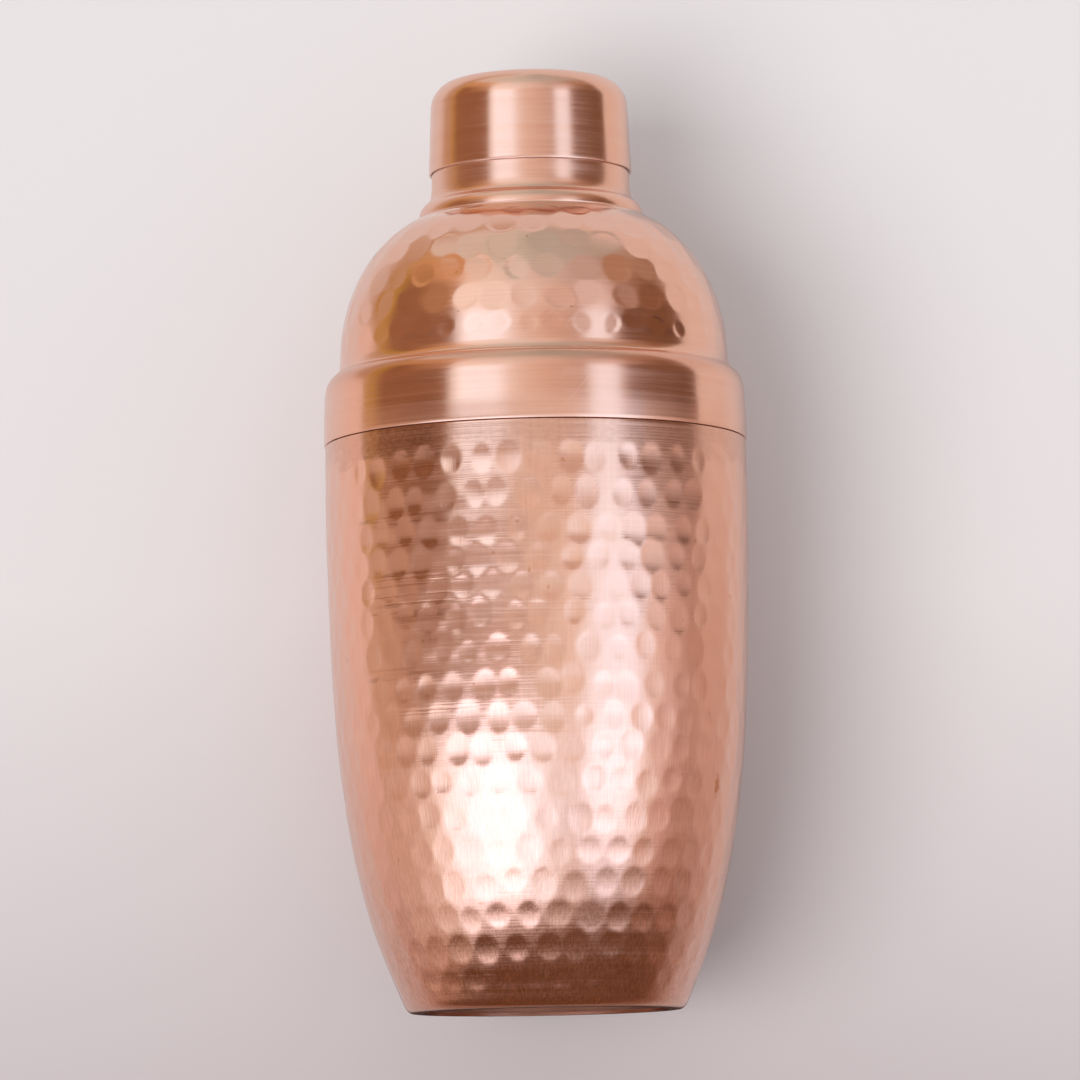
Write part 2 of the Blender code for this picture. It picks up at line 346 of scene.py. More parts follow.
def ripple(z, around):
    """Inward metres of the low waves between the rows of marks, at the profile heights z.
    They are strongest on the worn side, left of the front."""
    phase = np.interp(z, RIPPLE_CRESTS, 2 * math.pi * np.arange(len(RIPPLE_CRESTS)))
    size = np.interp(z, *np.array(RIPPLE_SIZES).T)
    turn = turns(around)
    worn = ramp_up(turn, start=-1.08, width=0.16) * ramp_down(turn, end=-0.16, width=0.34)
    share = 0.22 + 0.78 * worn
    bent = phase[:, None] + 0.55 * np.sin(5 * turn + 1.3)[None, :] * np.cos(z / 9)[:, None]
    strength = 0.80 + 0.20 * np.sin(11 * turn[None, :] + z[:, None] / 4)
    return MM * size[:, None] * share[None, :] * strength * np.sin(bent)


def wall_mark_rows():
    """Rows for strike(): the lowest is smaller and shallower, the belly's marks are wider."""
    rows = []
    for i, (z, shift) in enumerate(WALL_ROWS):
        lowest = i == len(WALL_ROWS) - 1
        count = int(round(2 * math.pi * wall_radius(z) / WALL_MARK_PITCH))
        half_width = 2.42 if z > 48 else 2.70
        half_height, deep = (2.3, 0.095) if lowest else (3.05, 0.125)
        rows.append((z, count, half_width, half_height, deep, shift))
    return rows


def wall_relief(outer, around):
    """Inward metres and struck mask of the wall's outer face."""
    depth, struck = hammer(outer, around, strike(wall_mark_rows(), seed=11, lean=0.006))
    z = np.array(outer)[:, 1]
    keep = ramp_up(z, start=2.6, width=1.2) * ramp_down(z, end=115.2, width=1.0)
    depth *= keep[:, None]
    # the marks are struck more lightly high on the right
    turn = turns(around)
    right = ramp_up(turn, start=0.30, width=0.25) * ramp_down(turn, end=1.75, width=0.5)
    depth *= 1 - 0.24 * ramp_up(z, start=60, width=15)[:, None] * right[None, :]
    return depth + ripple(z, around), struck


# ---------------------------------------------------------------- pieces


def build_body():
    foot = line((FOOT_HOLE_R, 0.0), (FOOT_FLAT_R, 0.0), 2)
    foot += bezier((FOOT_FLAT_R, 0.0), (FOOT_FLAT_R + 1.2, 0.0), WALL_STATIONS[0][::-1], 7)[:-1]
    wall = hermite(WALL_STATIONS, 186)
    # the step under the collar, the rim, and back down the inside
    rim_out = bezier((44.2, 118.7), (44.2, STEP_Z), (43.95, STEP_Z), 3)
    rim_out += [(43.62, STEP_Z + 0.02), (43.54, STEP_Z + 0.12), (43.45, 123.5), (43.22, 127.2)]
    rim = round_lip(RIM_TOP_R, RIM_TOP_Z - SHEET / 2, 8)
    rim_in = [(43.22 - SHEET, 127.2), (43.45 - SHEET, 123.5), (43.53 - SHEET, 119.4)]
    rim_in += [(43.06, 118.75), (43.38, 118.25), (43.55, 117.7)]
    radius, z = np.array(wall).T
    slope = np.gradient(radius, z)
    stretch = np.hypot(1, slope)
    inside = np.stack([radius - SHEET / stretch, z + SHEET * slope / stretch], 1)
    inside = [tuple(point) for point in inside[6:-3:9][::-1].tolist()]
    floor = [(30.0, 3.1), (29.2, 1.55), (27.9, SHEET), (FOOT_HOLE_R, SHEET)]
    outer = foot + wall
    profile = outer + rim_out + rim + rim_in + inside + floor
    around = 480
    depth, struck = wall_relief(outer, around)
    attributes = {
        "struck": padded(struck, profile),
        "inner": row_flag(profile, around, len(outer) + len(rim_out) + 4, -1),
    }
    return turned("tumbler_wall", profile, around, padded(depth, profile), attributes)


def dome_heights():
    """Heights evenly spaced along the dome's curve."""
    heights = []
    z = 138.0
    while z < 166.0:
        heights.append(z)
        part_up = (z - DOME_Z) / DOME_B
        across = math.sqrt(1 - part_up * part_up)
        z += DOME_STEP * across / math.hypot(across, part_up * DOME_A / DOME_B)
    return heights


def build_dome():
    foot = [(40.2, SEAT_Z + 0.3), (41.7, SEAT_Z + 0.3), (42.0, SEAT_Z + 0.40)]
    foot += [(42.06, SEAT_Z + 0.60), (41.95, SEAT_Z + 0.86), (41.65, SEAT_Z + 1.02)]
    foot += bezier((41.5, SEAT_Z + 1.1), (40.98, SEAT_Z + 1.9), (40.84, SEAT_Z + 3.0), 10)
    lower = bezier((40.83, SEAT_Z + 3.2), (40.78, 136.9), (dome_radius(137.6), 137.6), 4)
    heights = dome_heights()
    dome = [(dome_radius(z), z) for z in heights]
    top = bezier((dome_radius(166.15), 166.15), (24.35, 166.75), (23.95, 166.82), 4)
    crease = [(23.72, 166.9), (23.62, 167.05)]
    bead = bezier((BEAD_R, 167.25), (BEAD_R - 0.12, 169.0), (22.1, 170.05), 12)
    fillet = bezier((21.95, 170.15), (21.1, 170.75), (20.92, 172.9), 10)
    neck = line((20.88, 173.6), (NECK_R, 176.2), 3) + [(NECK_R, 176.2)]
    neck += [(neck_radius(z), z) for z in (176.8, 180.4, 184.0, 187.4, 190.6)]
    rim = round_lip(neck[-1][0], NECK_LIP_Z, 9)
    inside = [(neck_radius(z) - SHEET, z) for z in (190.6, 184.0)]
    inside += [(NECK_R - SHEET, 176.0), (20.3, 173.0), (20.45, 171.9), (20.75, 170.9)]
    inside += [(21.3, 169.9), (22.1, 169.35), (22.7, 168.9), (23.03, 168.1), (23.05, 167.2)]
    inside += [(23.0, 166.2)]
    inside += [(dome_radius(z, SHEET), z) for z in heights[::-1] if z < 165.2][::4]
    inside += [(40.25, 136.4), (40.25, 134.6)]
    outer = foot + lower + dome + top
    profile = outer + crease + bead + fillet + neck + rim + inside
    around = 440
    rng = np.random.default_rng(5)
    rows = [(*row, float(rng.uniform(0, 1))) for row in DOME_ROWS]
    depth, struck = hammer(outer, around, strike(rows, seed=23, lean=0.020))
    z = np.array(outer)[:, 1]
    keep = ramp_up(z, start=136.4, width=0.8) * ramp_down(z, end=166.7, width=0.5)
    inside_from = len(profile) - len(inside)
    attributes = {
        "struck": padded(struck, profile),
        "inner": row_flag(profile, around, inside_from),
        "plain": row_flag(profile, around, len(outer), inside_from),
    }
    sunk = padded(depth * keep[:, None], profile)
    return turned("dome_and_neck", profile, around, sunk, attributes)


def build_collar():
    outside = [(COLLAR_R - 0.12, COLLAR_Z), (COLLAR_R - 0.03, COLLAR_Z + 0.05)]
    outside += [(COLLAR_R, COLLAR_Z + 0.16)] + line((COLLAR_R, 119.9), (COLLAR_R, 122.5), 4)
    outside += bezier((COLLAR_R, 122.5), (COLLAR_R - 0.02, 125.0), (44.2, 126.6), 6)[:-1]
    outside += arc(SHOULDER_CENTRE, SHOULDER_A, SHOULDER_B, 2, 64, 34, SHOULDER_POWER)
    seat = [(42.08, 133.55), (42.05, 133.4), (42.05, SEAT_Z), (39.6, SEAT_Z)]
    seat += [(39.6, SEAT_Z - SHEET), (41.9, SEAT_Z - SHEET)]
    inner_axes = (SHOULDER_A - SHEET, SHOULDER_B - SHEET)
    inside = arc(SHOULDER_CENTRE, *inner_axes, 4, 44, 16, SHOULDER_POWER)[::-1]
    skirt = [(44.2 - SHEET, 126.6), (COLLAR_R - SHEET, 122.5), (COLLAR_R - SHEET, COLLAR_Z)]
    profile = outside + seat + inside + skirt
    around = 320
    attributes = {"inner": row_flag(profile, around, len(outside) + 2)}
    return turned("collar", profile, around, attributes=attributes)


def build_cap():
    centre = (CAP_FLAT_R, CAP_SIDE_TOP_Z)
    outside = [(CAP_FOOT_R - 0.1, CAP_Z), (CAP_FOOT_R - 0.02, CAP_Z + 0.04)]
    outside += [(CAP_FOOT_R, CAP_Z + 0.14)]
    outside += [
        (CAP_FOOT_R + (CAP_SIDE_R - CAP_FOOT_R) * t, CAP_Z + (CAP_SIDE_TOP_Z - CAP_Z) * t)
        for t in np.linspace(0.05, 0.97, 12)
    ]
    outside += arc(centre, CAP_CORNER_A, CAP_CORNER_B, 0, 90, 34)
    outside += [(radius, crown_z(radius)) for radius in (13.0, 10.0, 7.0, 4.0, 2.0, 0.8, 0.0)]
    inside = [(radius, crown_z(radius) - CAP_SHEET) for radius in (0.0, 0.8, 4.0, 8.0, 12.0)]
    inside += arc(centre, CAP_CORNER_A - CAP_SHEET, CAP_CORNER_B - CAP_SHEET, 0, 90, 14)[::-1]
    inside += [(CAP_FOOT_R - CAP_SHEET, CAP_Z)]
    profile = inside + outside
    around = 320
    attributes = {"inner": row_flag(profile, around, 0, len(inside))}
    return turned("cap", profile, around, attributes=attributes)


def build_base():
    # lower face from the axis outwards, then the upper face back to it
    profile = [
        (0.0, 1.9), (3.0, 1.9), (9.0, 1.9), (15.0, 1.9), (19.5, 1.9), (21.6, 1.9),
        (22.2, 1.85), (22.8, 1.62), (23.5, 1.1), (24.0, 0.76), (24.6, 0.63),
        (26.0, 0.62), (27.2, 0.62), (27.55, 0.8), (27.75, 1.25), (27.8, 1.45), (27.6, 1.5),
        (24.5, 1.5), (24.0, 1.62), (23.2, 2.1), (22.6, 2.42), (22.1, 2.5),
        (15.0, 2.5), (6.0, 2.5), (0.0, 2.5),
    ]
    return turned("base_disc", profile, 240)


def build_hole_cutter():
    bm = bmesh.new()
    for ring_radius, count in HOLE_RINGS:
        for i in range(count):
            # the ring of 12 is turned by half a pitch
            angle = 2 * math.pi * (i + 0.5 * (count == 12)) / count
            made = bmesh.ops.create_cone(
                bm,
                cap_ends=True,
                segments=28,
                radius1=HOLE_R * MM,
                radius2=HOLE_R * MM,
                depth=HOLE_CUTTER_DEPTH * MM,
            )
            place = (
                ring_radius * MM * math.cos(angle),
                ring_radius * MM * math.sin(angle),
                (STRAINER_Z + STRAINER_SHEET / 2) * MM,
            )
            bmesh.ops.translate(bm, verts=made["verts"], vec=place)
    mesh = bpy.data.meshes.new("strainer_holes")
    bm.to_mesh(mesh)
    bm.free()
    return link_object("strainer_holes", mesh)


def build_strainer():
    sheet, z = STRAINER_SHEET, STRAINER_Z
    bore = STRAINER_R - sheet
    profile = [(0.0, z), (12.0, z), (STRAINER_R - 0.8, z)]
    profile += bezier((STRAINER_R - 0.6, z), (STRAINER_R, z), (STRAINER_R, z + 0.6), 5)
    profile += [(STRAINER_R, z + 3.1), (STRAINER_R - 0.1, z + 3.2), (bore + 0.1, z + 3.2)]
    profile += [(bore, z + 3.1)]
    profile += bezier((bore, z + 0.85), (bore, z + sheet), (STRAINER_R - 0.85, z + sheet), 4)
    profile += [(12.0, z + sheet), (0.0, z + sheet)]
    plate = turned("strainer", profile, 200)
    cutter = build_hole_cutter()
    cut = plate.modifiers.new("holes", "BOOLEAN")
    cut.operation, cut.solver, cut.object = "DIFFERENCE", "EXACT", cutter
    graph = bpy.context.evaluated_depsgraph_get()
    made = bpy.data.meshes.new_from_object(plate.evaluated_get(graph))
    # the cut leaves points a hair apart: joined, so that no sliver faces stay
    bm = bmesh.new()
    bm.from_mesh(made)
    bmesh.ops.remove_doubles(bm, verts=bm.verts[:], dist=1e-6)
    bmesh.ops.dissolve_degenerate(bm, edges=bm.edges[:], dist=1e-6)
    bm.to_mesh(made)
    bm.free()
    plate.modifiers.clear()
    plate.data = made
    bpy.data.objects.remove(cutter, do_unlink=True)
    made.shade_smooth()
    made.set_sharp_from_angle(angle=SMOOTH_ANGLE)
    return plate


# ---------------------------------------------------------------- node helper


class Net:
    """Short calls that add shader nodes to a tree and return their output sockets."""

    def __init__(self, tree):
        self.tree = tree

    def node(self, kind, **props):
        made = self.tree.nodes.new(kind)
        for key, value in props.items():
            setattr(made, key, value)
        return made

    def put(self, value, socket):
        """Link a socket or set a value; None leaves the socket alone."""
        if isinstance(value, bpy.types.NodeSocket):
            self.tree.links.new(value, socket)
        elif value is not None:
            if isinstance(value, tuple) and len(value) == 3 and socket.type == "RGBA":
                value = (*value, 1.0)
            socket.default_value = value

    def put_all(self, node, values, first=0):
        for value, socket in zip(values, list(node.inputs)[first:]):
            self.put(value, socket)

    def math(self, op, a, b=None, clamp=False):
        node = self.node("ShaderNodeMath", operation=op, use_clamp=clamp)
        self.put_all(node, (a, b))
        return node.outputs[0]

    def mul(self, a, b):
        return self.math("MULTIPLY", a, b)

    def add(self, first, *others):
        for value in others:
            first = self.math("ADD", first, value)
        return first

    def vmath(self, op, a, b=None):
        node = self.node("ShaderNodeVectorMath", operation=op)
        self.put_all(node, (a, b))
        return node.outputs[1 if op in ("LENGTH", "DISTANCE", "DOT_PRODUCT") else 0]

    def mixf(self, share, a, b):
        node = self.node("ShaderNodeMix", data_type="FLOAT")
        self.put(share, node.inputs[0])
        self.put_all(node, (a, b), first=2)
        return node.outputs[0]

    def mix(self, share, a, b, blend="MIX"):
        node = self.node("ShaderNodeMix", data_type="RGBA", blend_type=blend)
        self.put(share, node.inputs[0])
        self.put_all(node, (a, b), first=6)
        return node.outputs[2]

    def tint(self, a, b):
        """Two colours multiplied."""
        return self.mix(1.0, a, b, "MULTIPLY")

    def stain(self, tone, mask, amount, colour):
        """tone turned towards colour by amount where the mask is 1."""
        return self.mix(self.mul(mask, amount), tone, colour)

    def split(self, vector):
        node = self.node("ShaderNodeSeparateXYZ")
        self.put(vector, node.inputs[0])
        return node.outputs

    def join(self, x, y, z):
        node = self.node("ShaderNodeCombineXYZ")
        self.put_all(node, (x, y, z))
        return node.outputs[0]

    def turn(self, x, y):
        """Radians round the axis: 0 at the front, positive to the right."""
        return self.math("ARCTAN2", x, self.mul(y, -1.0))

    def noise(self, vector, scale, detail, rough=0.5):
        node = self.node("ShaderNodeTexNoise")
        self.put(vector, node.inputs["Vector"])
        node.inputs["Scale"].default_value = scale
        node.inputs["Detail"].default_value = detail
        node.inputs["Roughness"].default_value = rough
        return node.outputs["Fac"]

    def streaks(self, point, level, up, detail=1, rough=0.5):
        """Noise with different scales, per metre, on the level and upwards."""
        stretched = self.vmath("MULTIPLY", point, (level, level, up))
        return self.noise(stretched, scale=1.0, detail=detail, rough=rough)

    def fit(self, value, over, to=(0.0, 1.0), smooth=False):
        """value carried from the range over to the range to, clamped."""
        kind = "SMOOTHSTEP" if smooth else "LINEAR"
        node = self.node("ShaderNodeMapRange", interpolation_type=kind)
        self.put_all(node, (value, *over, *to))
        return node.outputs[0]

    def window(self, value, low, high, soft, soft_high=None):
        """1 between low and high, with smooth edges of those half widths."""
        soft_high = soft if soft_high is None else soft_high
        up = self.fit(value, over=(low - soft, low + soft), smooth=True)
        over = (high - soft_high, high + soft_high)
        return self.mul(up, self.fit(value, over=over, to=(1.0, 0.0), smooth=True))

    def bands(self, value, rows):
        """Sum of windows, from rows of low, high, softness."""
        return self.add(*[self.window(value, *row) for row in rows])

    def ramp(self, value, stops):
        node = self.node("ShaderNodeValToRGB")
        elements = node.color_ramp.elements
        while len(elements) > 1:
            elements.remove(elements[-1])
        for i, (place, colour) in enumerate(stops):
            element = elements[0] if i == 0 else elements.new(place)
            element.position = place
            element.color = (*colour, 1.0)
        self.put(value, node.inputs[0])
        return node.outputs[0]

    def attribute(self, name):
        return self.node("ShaderNodeAttribute", attribute_name=name).outputs["Fac"]

    def object_point(self):
        return self.node("ShaderNodeTexCoord").outputs["Object"]


# ---------------------------------------------------------------- materials, in metres

COPPER = (0.93, 0.55, 0.415)
COPPER_PINK = (0.94, 0.58, 0.46)
COPPER_DEEP = (0.86, 0.45, 0.30)
COPPER_BRIGHT = (0.96, 0.67, 0.55)
COPPER_SHADOW = (0.60, 0.32, 0.20)
LINING = (0.62, 0.60, 0.57)
WALL_UNROLL_R = 0.044  # radius that turns an angle into a length round the surface

# low, high and edge softness of height bands on the tumbler's wall
SCRATCH_BANDS = (
    (0.0785, 0.0890, 0.0015), (0.0668, 0.0684, 0.0004), (0.0585, 0.0617, 0.0006),
    (0.0550, 0.0562, 0.0003), (0.0342, 0.0350, 0.0002), (0.0975, 0.1010, 0.0012),
)
# heights of the painted dark reflection bars
REFLECTION_BAR_BANDS = (
    (0.0793, 0.0852, 0.0006), (0.0876, 0.0890, 0.0003),
    (0.0982, 0.1008, 0.0006), (0.0668, 0.0692, 0.0006),
)


def metal(name):
    mat = bpy.data.materials.new(name)
    mat.use_nodes = True
    net = Net(mat.node_tree)
    shader = mat.node_tree.nodes["Principled BSDF"]
    shader.inputs["Metallic"].default_value = 1.0
    return mat, net, shader, net.object_point()


def scratches(net, point, turn, long, fine, over, seed, patch, patch_over):
    """Thin straight marks in the unrolled surface, turned from the horizontal by turn radians
    and shown in patches. patch holds the patch noise's scales, level and up."""
    x, y, z = net.split(point)
    around = net.mul(net.turn(x, y), WALL_UNROLL_R)
    cos, sin = math.cos(turn), math.sin(turn)
    along = net.add(net.mul(around, cos), net.mul(z, sin))
    across = net.math("SUBTRACT", net.mul(z, cos), net.mul(around, sin))
    stretched = net.join(net.mul(along, long), net.mul(across, fine), seed)
    field = net.noise(stretched, scale=1.0, detail=1)
    patches = net.fit(net.streaks(point, *patch), over=patch_over)
    return net.mul(net.fit(field, over=over), patches)


def relief(net, shader, *heights):
    """Bump from the sum of heights, in micrometres."""
    bump = net.node("ShaderNodeBump")
    bump.inputs["Strength"].default_value = 1.0
    bump.inputs["Distance"].default_value = 1e-6
    net.put(net.add(*heights), bump.inputs["Height"])
    net.put(bump.outputs[0], shader.inputs["Normal"])


def clouded(net, clouds, base=COPPER):
    return net.mix(net.fit(clouds, over=(0.35, 0.68)), base, COPPER_PINK)


def grained(net, tone, grain):
    return net.tint(tone, net.join(grain, grain, grain))


def put_lined(net, shader, tone, inner):
    """Outer colour, with a greyer and less metallic lining on the inner faces."""
    net.put(net.fit(inner, over=(0.0, 1.0), to=(1.0, 0.45)), shader.inputs["Metallic"])
    net.put(net.mix(inner, tone, LINING), shader.inputs["Base Color"])


def scratch_bundles(net, point, z, side):
    """Bundles of harder scratches, at a few heights and only part of the way round: where they
    are, and the lines they are cut in."""
    part = net.fit(net.streaks(point, level=42, up=120), over=(0.46, 0.60))
    bundles = net.math("MULTIPLY", net.bands(z, SCRATCH_BANDS), part, clamp=True)
    left = net.window(side, low=-1.05, high=0.12, soft=0.10, soft_high=0.45)
    cut_lines = net.fit(net.streaks(point, level=20, up=1000, detail=2), over=(0.56, 0.66))
    return net.mul(bundles, left), cut_lines


def painted_reflection_bars(net, point, z, side, struck):
    """Painted dark reflection: flat dark bars between the marks, left of the middle."""
    bars = net.fit(net.streaks(point, level=95, up=1100, detail=2), over=(0.49, 0.60))
    left = net.window(side, low=-0.96, high=-0.44, soft=0.04, soft_high=0.20)
    bars = net.mul(bars, net.mul(net.bands(z, REFLECTION_BAR_BANDS), left))
    return net.mul(bars, net.math("SUBTRACT", 1.0, struck))


def wall_grime(net, point, z, side):
    """The plain band under the collar is duller, darkest at the left, with an uneven edge."""
    uneven = net.streaks(point, level=130, up=300, detail=3, rough=0.6)
    edge = net.fit(uneven, over=(0.3, 0.7), to=(-0.0026, 0.0026))
    hung = net.fit(net.add(z, edge), over=(0.1118, 0.1146), smooth=True)
    specks = net.streaks(point, level=700, up=1300, detail=3, rough=0.7)
    specks = net.fit(specks, over=(0.34, 0.62))
    left = net.window(side, low=-0.94, high=-0.48, soft=0.04, soft_high=0.06)
    speckled = net.fit(specks, over=(0.0, 1.0), to=(0.50, 1.0))
    return net.mul(hung, net.mul(net.mixf(left, 0.20, 0.50), speckled))


def tiny_flecks(net, point):
    return net.fit(net.noise(point, scale=420.0, detail=1), over=(0.775, 0.80))


def wall_flecks(net, point):
    """Small tarnish flecks, one larger to the right of the belly."""
    spot = net.vmath("SUBTRACT", point, (0.0359, -0.0205, 0.0452))
    spot = net.vmath("LENGTH", net.vmath("MULTIPLY", spot, (1.0, 1.0, 0.42)))
    ragged = net.noise(point, scale=900.0, detail=2)
    spot = net.add(spot, net.fit(ragged, over=(0.3, 0.7), to=(-0.0004, 0.0004)))
    fleck = net.fit(spot, over=(0.0006, 0.0011), to=(1.0, 0.0))
    return net.math("MAXIMUM", fleck, net.mul(tiny_flecks(net, point), 0.5))


def wall_relief_bump(net, shader, point, z, struck, lines, uprights, bundle_cut):
    lines_long = net.streaks(point, level=9, up=900, detail=2)
    grains = net.streaks(point, level=2600, up=1500, detail=2, rough=0.6)
    band = net.window(z, low=0.1136, high=0.125, soft=0.0007)
    lower = net.fit(z, over=(0.045, 0.060), to=(1.0, 0.0))
    stray = scratches(
        net, point, turn=0.75, long=60, fine=2600, over=(0.665, 0.70), seed=3.0,
        patch=(60, 60), patch_over=(0.52, 0.60),
    )
    stray_down = scratches(
        net, point, turn=-1.1, long=70, fine=2200, over=(0.675, 0.71), seed=9.0,
        patch=(55, 50), patch_over=(0.54, 0.62),
    )
    relief(
        net,
        shader,
        net.mul(net.mul(lines, 13.0), net.mixf(struck, 1.0, 0.30)),
        net.mul(lines_long, net.mixf(struck, 8.0, 3.0)),
        net.mul(grains, net.mixf(band, net.mixf(struck, 1.3, 0.6), 3.0)),
        net.mul(uprights, net.add(net.mul(struck, 9.0), net.mul(lower, 11.0))),
        net.mul(net.math("MAXIMUM", stray, stray_down), -2.2),
        net.mul(bundle_cut, -11.0),
    )


def upright_grain(net, z, uprights):
    """A fine upright grain, plainer to see over the foot."""
    near_foot = net.fit(z, over=(0.010, 0.032), to=(1.0, 0.0))
    upper = net.fit(z, over=(0.050, 0.072))
    least = net.mixf(upper, net.mixf(near_foot, 0.955, 0.87), 0.982)
    return net.fit(uprights, over=(0.36, 0.64), to=(least, net.mixf(upper, 1.05, 1.015)))


# painted shade on the foot's underside and in its recess
def painted_foot_shade(net, x, y, z):
    across = net.vmath("LENGTH", net.join(x, y, 0.0))
    low = net.fit(z, over=(0.0005, 0.0012), to=(1.0, 0.0))
    return net.mul(low, net.fit(across, over=(0.0279, 0.0288), to=(1.0, 0.0)))


def hammered_body():
    mat, net, shader, point = metal("hammered_copper_body")
    x, y, z = net.split(point)
    side = net.turn(x, y)
    struck = net.attribute("struck")
    inner = net.attribute("inner")
    lines = net.streaks(point, level=28, up=2400, detail=3, rough=0.62)
    uprights = net.streaks(point, level=2100, up=70, detail=2, rough=0.6)
    clouds = net.noise(point, scale=38.0, detail=3, rough=0.55)
    bundles, cut_lines = scratch_bundles(net, point, z, side)
    bundle_cut = net.mul(bundles, cut_lines)
    grime = wall_grime(net, point, z, side)
    wall_relief_bump(net, shader, point, z, struck, lines, uprights, bundle_cut)

    # the surface is duller high on the right
    right = net.window(side, low=0.50, high=2.10, soft=0.30, soft_high=0.50)
    dull = net.mul(net.fit(z, over=(0.080, 0.108)), right)
    rough = net.add(
        net.mixf(struck, 0.150, 0.138),
        net.fit(lines, over=(0.3, 0.7), to=(-0.03, 0.05)),
        net.fit(clouds, over=(0.35, 0.65), to=(-0.02, 0.03)),
        net.mul(grime, 0.02),
        net.mul(dull, 0.075),
        net.mul(bundle_cut, 0.10),
        net.mul(inner, 0.05),
    )
    net.put(rough, shader.inputs["Roughness"])

    tone = net.mix(grime, clouded(net, clouds), (0.28, 0.125, 0.075))
    # painted dark reflection in bars between the marks, left of the middle
    bars = painted_reflection_bars(net, point, z, side, struck)
    tone = net.stain(tone, bars, amount=0.34, colour=(0.36, 0.18, 0.11))
    bright_lines = net.fit(lines, over=(0.55, 0.75))
    tone = net.stain(tone, bright_lines, amount=0.22, colour=COPPER_BRIGHT)
    tone = net.stain(tone, cut_lines, amount=net.mul(bundles, 0.35), colour=COPPER_DEEP)
    tone = grained(net, tone, upright_grain(net, z, uprights))
    # painted shade: the foot's underside and recess are darkened
    below = painted_foot_shade(net, x, y, z)
    tone = net.stain(tone, below, amount=0.85, colour=(0.34, 0.17, 0.11))
    tone = net.stain(tone, wall_flecks(net, point), amount=0.75, colour=(0.62, 0.26, 0.10))
    put_lined(net, shader, tone, inner)
    return mat


def hammered_dome():
    mat, net, shader, point = metal("hammered_copper_dome")
    z = net.split(point)[2]
    struck = net.attribute("struck")
    inner = net.attribute("inner")
    plain = net.attribute("plain")
    lines = net.streaks(point, level=30, up=2200, detail=3, rough=0.6)
    lines_long = net.streaks(point, level=12, up=700, detail=2)
    grains = net.noise(point, scale=2600.0, detail=2, rough=0.6)
    clouds = net.noise(point, scale=45.0, detail=3, rough=0.55)
    stray = scratches(
        net, point, turn=0.70, long=70, fine=2400, over=(0.67, 0.70), seed=5.0,
        patch=(60, 70), patch_over=(0.54, 0.62),
    )
    relief(
        net,
        shader,
        net.mul(lines, net.mixf(plain, net.mixf(struck, 2.6, 1.2), 3.2)),
        net.mul(lines_long, 3.0),
        net.mul(grains, 0.12),
        net.mul(stray, -3.5),
    )
    neck_side = net.window(z, low=0.1706, high=0.1766, soft=0.0006)
    rough = net.add(
        net.mixf(plain, net.mixf(struck, 0.155, 0.115), 0.20),
        net.fit(lines, over=(0.3, 0.7), to=(-0.02, 0.035)),
        net.fit(clouds, over=(0.35, 0.65), to=(-0.015, 0.025)),
        net.mul(inner, 0.12),
        net.mul(neck_side, 0.03),
    )
    net.put(rough, shader.inputs["Roughness"])

    tone = clouded(net, clouds)
    bright_lines = net.fit(lines, over=(0.58, 0.76))
    tone = net.stain(tone, bright_lines, amount=0.2, colour=COPPER_BRIGHT)
    tone = grained(net, tone, net.fit(lines, over=(0.34, 0.66), to=(0.978, 1.018)))
    seat = net.window(z, low=0.1332, high=0.1342, soft=0.0002, soft_high=0.0004)
    tone = net.stain(tone, seat, amount=0.15, colour=COPPER_SHADOW)
    crease = net.window(z, low=0.1666, high=0.1671, soft=0.0002)
    tone = net.stain(tone, crease, amount=0.2, colour=COPPER_SHADOW)
    # painted highlight: a pale band on the dome just under the bead
    painted_highlight_under_bead = net.window(z, low=0.1650, high=0.1668, soft=0.0006, soft_high=0.0003)
    tone = net.stain(tone, painted_highlight_under_bead, amount=0.7, colour=(0.99, 0.79, 0.68))
    tone = net.stain(tone, tiny_flecks(net, point), amount=0.4, colour=(0.55, 0.25, 0.11))
    put_lined(net, shader, tone, inner)
    return mat


